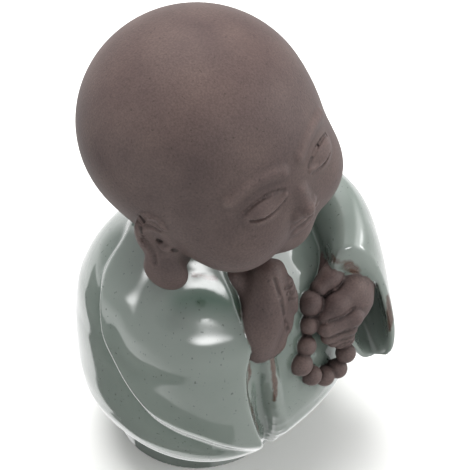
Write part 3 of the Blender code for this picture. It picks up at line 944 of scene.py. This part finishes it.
def clay_finish(tree, place, edge):
    """Colour and grain of the bare stoneware: reddish brown, cloudy, with painted shade where it
    is sunk and a faint painted highlight on raised edges.
    """
    noise = "ShaderNodeTexNoise"
    cloud = node(tree, noise, {"Scale": 1 / (CLOUD_WIDTH * MM), "Detail": 4.0}, {"Vector": place})
    grain = node(tree, noise, {"Scale": 1 / (GRAIN_WIDTH * MM), "Detail": 3.0}, {"Vector": place})
    dots = {"Scale": 1 / (CLAY_SPECK_WIDTH * MM), "Detail": 2.0}
    speck = node(tree, noise, dots, {"Vector": place})
    body = node(tree, "ShaderNodeValToRGB", links={"Fac": cloud.outputs["Fac"]})
    for end, at, colour in zip(body.color_ramp.elements, (0.3, 0.7), (CLAY_DARK, CLAY_PALE)):
        end.position, end.color = at, linear(colour)
    span = ramp(0.3, 0.72, 0.78, 1.16)
    grey = node(tree, "ShaderNodeMapRange", span, {0: grain.outputs["Fac"]})
    # Painted shade: the clay is darkened in creases and hollows, and lightened a little on raised
    # edges as a painted highlight
    crease_shade = node(tree, "ShaderNodeMapRange", ramp(-0.3, 0.1, 0.4, 1.08), {0: edge})
    span = ramp(0.27, 0.33, 0.6, 1.0)
    dot = node(tree, "ShaderNodeMapRange", span, {0: speck.outputs["Fac"]})
    grain_and_crease_shade = node(tree, "ShaderNodeMath", TIMES, {0: grey.outputs[0], 1: crease_shade.outputs[0]})
    dotted = node(tree, "ShaderNodeMath", TIMES, {0: grain_and_crease_shade.outputs[0], 1: dot.outputs[0]})
    colour = node(
        tree,
        "ShaderNodeVectorMath",
        SCALED,
        {0: body.outputs[0], "Scale": dotted.outputs[0]},
    )
    return colour.outputs[0], grain.outputs["Fac"]


def glaze_finish(tree, place, form):
    """Colour of the celadon: grey-green glass, deeper where it pools, thin and brown on edges."""
    noise = "ShaderNodeTexNoise"
    drift = node(tree, noise, {"Scale": 1 / (DRIFT_WIDTH * MM), "Detail": 3.0}, {"Vector": place})
    broken = node(tree, noise, {"Scale": 1 / (WORN_WIDTH * MM), "Detail": 3.0}, {"Vector": place})
    dots = {"Scale": 1 / (GLAZE_SPECK_WIDTH * MM), "Detail": 1.0}
    speck = node(tree, noise, dots, {"Vector": place})
    pool, thin = (
        node(tree, "ShaderNodeAttribute", {"attribute_name": name}).outputs["Fac"]
        for name in ("pool", "thin")
    )
    depth = node(tree, "ShaderNodeMapRange", ramp(-0.9, 0.5, 0.0, 0.8), {0: form})
    mix = node(
        tree,
        "ShaderNodeMath",
        {"operation": "MULTIPLY_ADD", 1: 0.35},
        {0: drift.outputs["Fac"], 2: depth.outputs[0]},
    )
    green = node(tree, "ShaderNodeValToRGB", links={"Fac": mix.outputs[0]})
    for end, at, colour in zip(green.color_ramp.elements, (0.1, 0.9), (GLAZE_DEEP, GLAZE_PALE)):
        end.position, end.color = at, linear(colour)
    pooled = node(
        tree,
        "ShaderNodeMixRGB",
        {"Color2": linear(GLAZE_POOLED)},
        {"Fac": pool, "Color1": green.outputs[0]},
    )
    rubbed = node(
        tree,
        "ShaderNodeMath",
        {"operation": "MULTIPLY_ADD", 1: 1.1, 2: -0.72},
        {0: broken.outputs["Fac"]},
    )
    worn = node(tree, "ShaderNodeMath", PLUS, {0: rubbed.outputs[0], 1: thin})
    brown = node(tree, "ShaderNodeMapRange", ramp(0.12, 0.5, 0.0, 0.85), {0: worn.outputs[0]})
    edged = node(
        tree,
        "ShaderNodeMixRGB",
        {"Color2": linear(GLAZE_THIN)},
        {"Fac": brown.outputs[0], "Color1": pooled.outputs[0]},
    )
    span = ramp(0.24, 0.30, 0.55, 1.0)
    dot = node(tree, "ShaderNodeMapRange", span, {0: speck.outputs["Fac"]})
    colour = node(
        tree,
        "ShaderNodeVectorMath",
        SCALED,
        {0: edged.outputs[0], "Scale": dot.outputs[0]},
    )
    return colour.outputs[0]


def glaze_and_clay():
    """Celadon glaze over stoneware that is left bare on the head, hands and beads."""
    # The glaze was dipped and fired to glass: a clear coat, its IOR above plain glass's for the
    # bright, sharp images of the room. The pressed clay was left bare: dull, with a fine grain.
    material = bpy.data.materials.new("celadon glaze and bare stoneware")
    material.use_nodes = True
    tree = material.node_tree
    tree.nodes.clear()
    place = node(tree, "ShaderNodeTexCoord").outputs["Object"]
    bare, edge, form = (
        node(tree, "ShaderNodeAttribute", {"attribute_name": name}).outputs["Fac"]
        for name in ("bare", "edge", "form")
    )
    scale = 1 / (RAGGED_WIDTH * MM)
    ragged = node(tree, "ShaderNodeTexNoise", {"Scale": scale, "Detail": 3.0}, {"Vector": place})
    span = ramp(0.3, 0.7, -0.15, 0.15)
    wander = node(tree, "ShaderNodeMapRange", span, {0: ragged.outputs["Fac"]})
    where = node(tree, "ShaderNodeMath", PLUS, {0: bare, 1: wander.outputs[0]})
    span = ramp(-0.08, 0.08, 0.0, 1.0)
    mask = node(tree, "ShaderNodeMapRange", span, {0: where.outputs[0]}).outputs[0]
    clay_colour, grain = clay_finish(tree, place, edge)
    glaze_colour = glaze_finish(tree, place, form)
    colour = node(
        tree,
        "ShaderNodeMixRGB",
        links={"Fac": mask, "Color1": glaze_colour, "Color2": clay_colour},
    )
    rough = node(tree, "ShaderNodeMapRange", ramp(0.0, 1.0, 0.12, 0.55), {0: mask})
    glass = node(tree, "ShaderNodeMapRange", ramp(0.0, 1.0, 1.0, 0.0), {0: mask})
    bumps = node(tree, "ShaderNodeMath", TIMES, {0: grain, 1: mask})
    raised = {"Strength": 0.5, "Distance": GRAIN_DEPTH * MM}
    bump = node(tree, "ShaderNodeBump", raised, {"Height": bumps.outputs[0]})
    shader = node(
        tree,
        "ShaderNodeBsdfPrincipled",
        {"IOR": 1.5, "Coat IOR": 1.8, "Coat Roughness": 0.04},
        {
            "Base Color": colour.outputs[0],
            "Roughness": rough.outputs[0],
            "Coat Weight": glass.outputs[0],
            "Normal": bump.outputs[0],
        },
    )
    node(tree, "ShaderNodeOutputMaterial", links={"Surface": shader.outputs[0]})
    return material


def floor():
    """Plain pale floor, left out of the glaze's reflections."""
    work = bmesh.new()
    bmesh.ops.create_grid(work, x_segments=1, y_segments=1, size=2.0)
    mesh = bpy.data.meshes.new("floor")
    work.to_mesh(mesh)
    work.free()
    made = bpy.data.objects.new("floor", mesh)
    bpy.context.scene.collection.objects.link(made)
    made.visible_glossy = False
    material = bpy.data.materials.new("pale floor")
    material.use_nodes = True
    shader = material.node_tree.nodes["Principled BSDF"]
    shader.inputs["Base Color"].default_value = linear(FLOOR_PALE)
    shader.inputs["Roughness"].default_value = 0.9
    mesh.materials.append(material)


def soft_light(name, at, size, power):
    """Softbox that faces the figure and is left out of the glaze's reflections."""
    lamp = bpy.data.lights.new(name, "AREA")
    lamp.shape = "RECTANGLE"
    lamp.size, lamp.size_y = size
    lamp.energy = power
    made = bpy.data.objects.new(name, lamp)
    bpy.context.scene.collection.objects.link(made)
    made.visible_glossy = False
    made.location = at
    way = Vector(FIGURE_MIDDLE) - Vector(at)
    made.rotation_euler = way.to_track_quat("-Z", "Y").to_euler()


def glow(tree, way, at, reach, strength):
    """Feathered softbox on the white room, round one direction."""
    off = node(tree, "ShaderNodeVectorMath", {"operation": "SUBTRACT", 1: at}, {0: way})
    divided = {"operation": "DIVIDE", 1: reach}
    share = node(tree, "ShaderNodeVectorMath", divided, {0: off.outputs[0]})
    length = node(tree, "ShaderNodeVectorMath", {"operation": "LENGTH"}, {0: share.outputs[0]})
    settings = {"interpolation_type": "SMOOTHSTEP", **ramp(0.2, 1.0, strength, 0.0)}
    return node(tree, "ShaderNodeMapRange", settings, {0: length.outputs["Value"]}).outputs[0]


def surroundings():
    """White room with feathered softboxes and a dark bench, for the glaze to mirror."""
    world = bpy.data.worlds.new("studio")
    world.use_nodes = True
    tree = world.node_tree
    tree.nodes.clear()
    way = node(tree, "ShaderNodeTexCoord").outputs["Generated"]
    across, depth, up = node(tree, "ShaderNodeSeparateXYZ", links={0: way}).outputs
    behind = node(tree, "ShaderNodeMath", {"operation": "MAXIMUM", 1: 0.0}, {0: depth})
    sloped = {"operation": "MULTIPLY_ADD", 1: BENCH_SLOPE}
    over = node(tree, "ShaderNodeMath", sloped, {0: behind.outputs[0], 2: up})
    parts = []
    for ends, fade, source in (
        (BENCH_TOP, (1.0, 0.0), over.outputs[0]),
        (BENCH_FOOT, (0.0, 1.0), up),
        (BENCH_SIDE, (1.0, 0.0), across),
    ):
        parts.append(node(tree, "ShaderNodeMapRange", ramp(*ends, *fade), {0: source}).outputs[0])
    band = node(tree, "ShaderNodeMath", TIMES, {0: parts[0], 1: parts[1]})
    bench = node(tree, "ShaderNodeMath", TIMES, {0: band.outputs[0], 1: parts[2]})
    span = ramp(0.0, 1.0, 1.0, BENCH_SHADE)
    lit = node(tree, "ShaderNodeMapRange", span, {0: bench.outputs[0]})
    low = node(tree, "ShaderNodeMapRange", ramp(-0.1, 0.15, 1.0, 0.0), {0: up})
    span = ramp(-0.45, 0.0, 0.0, TABLE_LIGHT)
    back = node(tree, "ShaderNodeMapRange", span, {0: depth})
    lifted = {"operation": "MULTIPLY_ADD", 2: ROOM_LIGHT}
    table = node(tree, "ShaderNodeMath", lifted, {0: low.outputs[0], 1: back.outputs[0]})
    shaded = node(tree, "ShaderNodeMath", TIMES, {0: table.outputs[0], 1: lit.outputs[0]})
    light = shaded.outputs[0]
    for at, reach, strength in GLOWS:
        box = glow(tree, way, at, reach, strength)
        light = node(tree, "ShaderNodeMath", PLUS, {0: light, 1: box}).outputs[0]
    background = node(tree, "ShaderNodeBackground", {"Color": (1, 1, 1, 1)}, {"Strength": light})
    node(tree, "ShaderNodeOutputWorld", links={"Surface": background.outputs[0]})
    bpy.context.scene.world = world


def studio():
    """Soft light for the clay, and a room for the glaze to mirror."""
    for light in LIGHTS:
        soft_light(*light)
    surroundings()
    bpy.context.scene.view_settings.view_transform = "Standard"


def camera():
    """Camera at the photograph's viewing angle."""
    made = bpy.data.objects.new("camera", bpy.data.cameras.new("camera"))
    bpy.context.scene.collection.objects.link(made)
    way = Vector(CAMERA_WAY).normalized()
    made.location = (Vector(CAMERA_AIM) + way * CAMERA_DISTANCE) * MM
    made.rotation_euler = way.to_track_quat("Z", "Y").to_euler()
    made.data.lens = CAMERA_LENS
    made.data.sensor_width = CAMERA_SENSOR
    made.data.clip_start = CAMERA_NEAREST * MM
    bpy.context.scene.camera = made


statue_piece = worked_statue()
statue_piece.data.materials.clear()
statue_piece.data.materials.append(glaze_and_clay())
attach(statue_piece, "root")
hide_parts("baby_monk_statue")
floor()
studio()
camera()
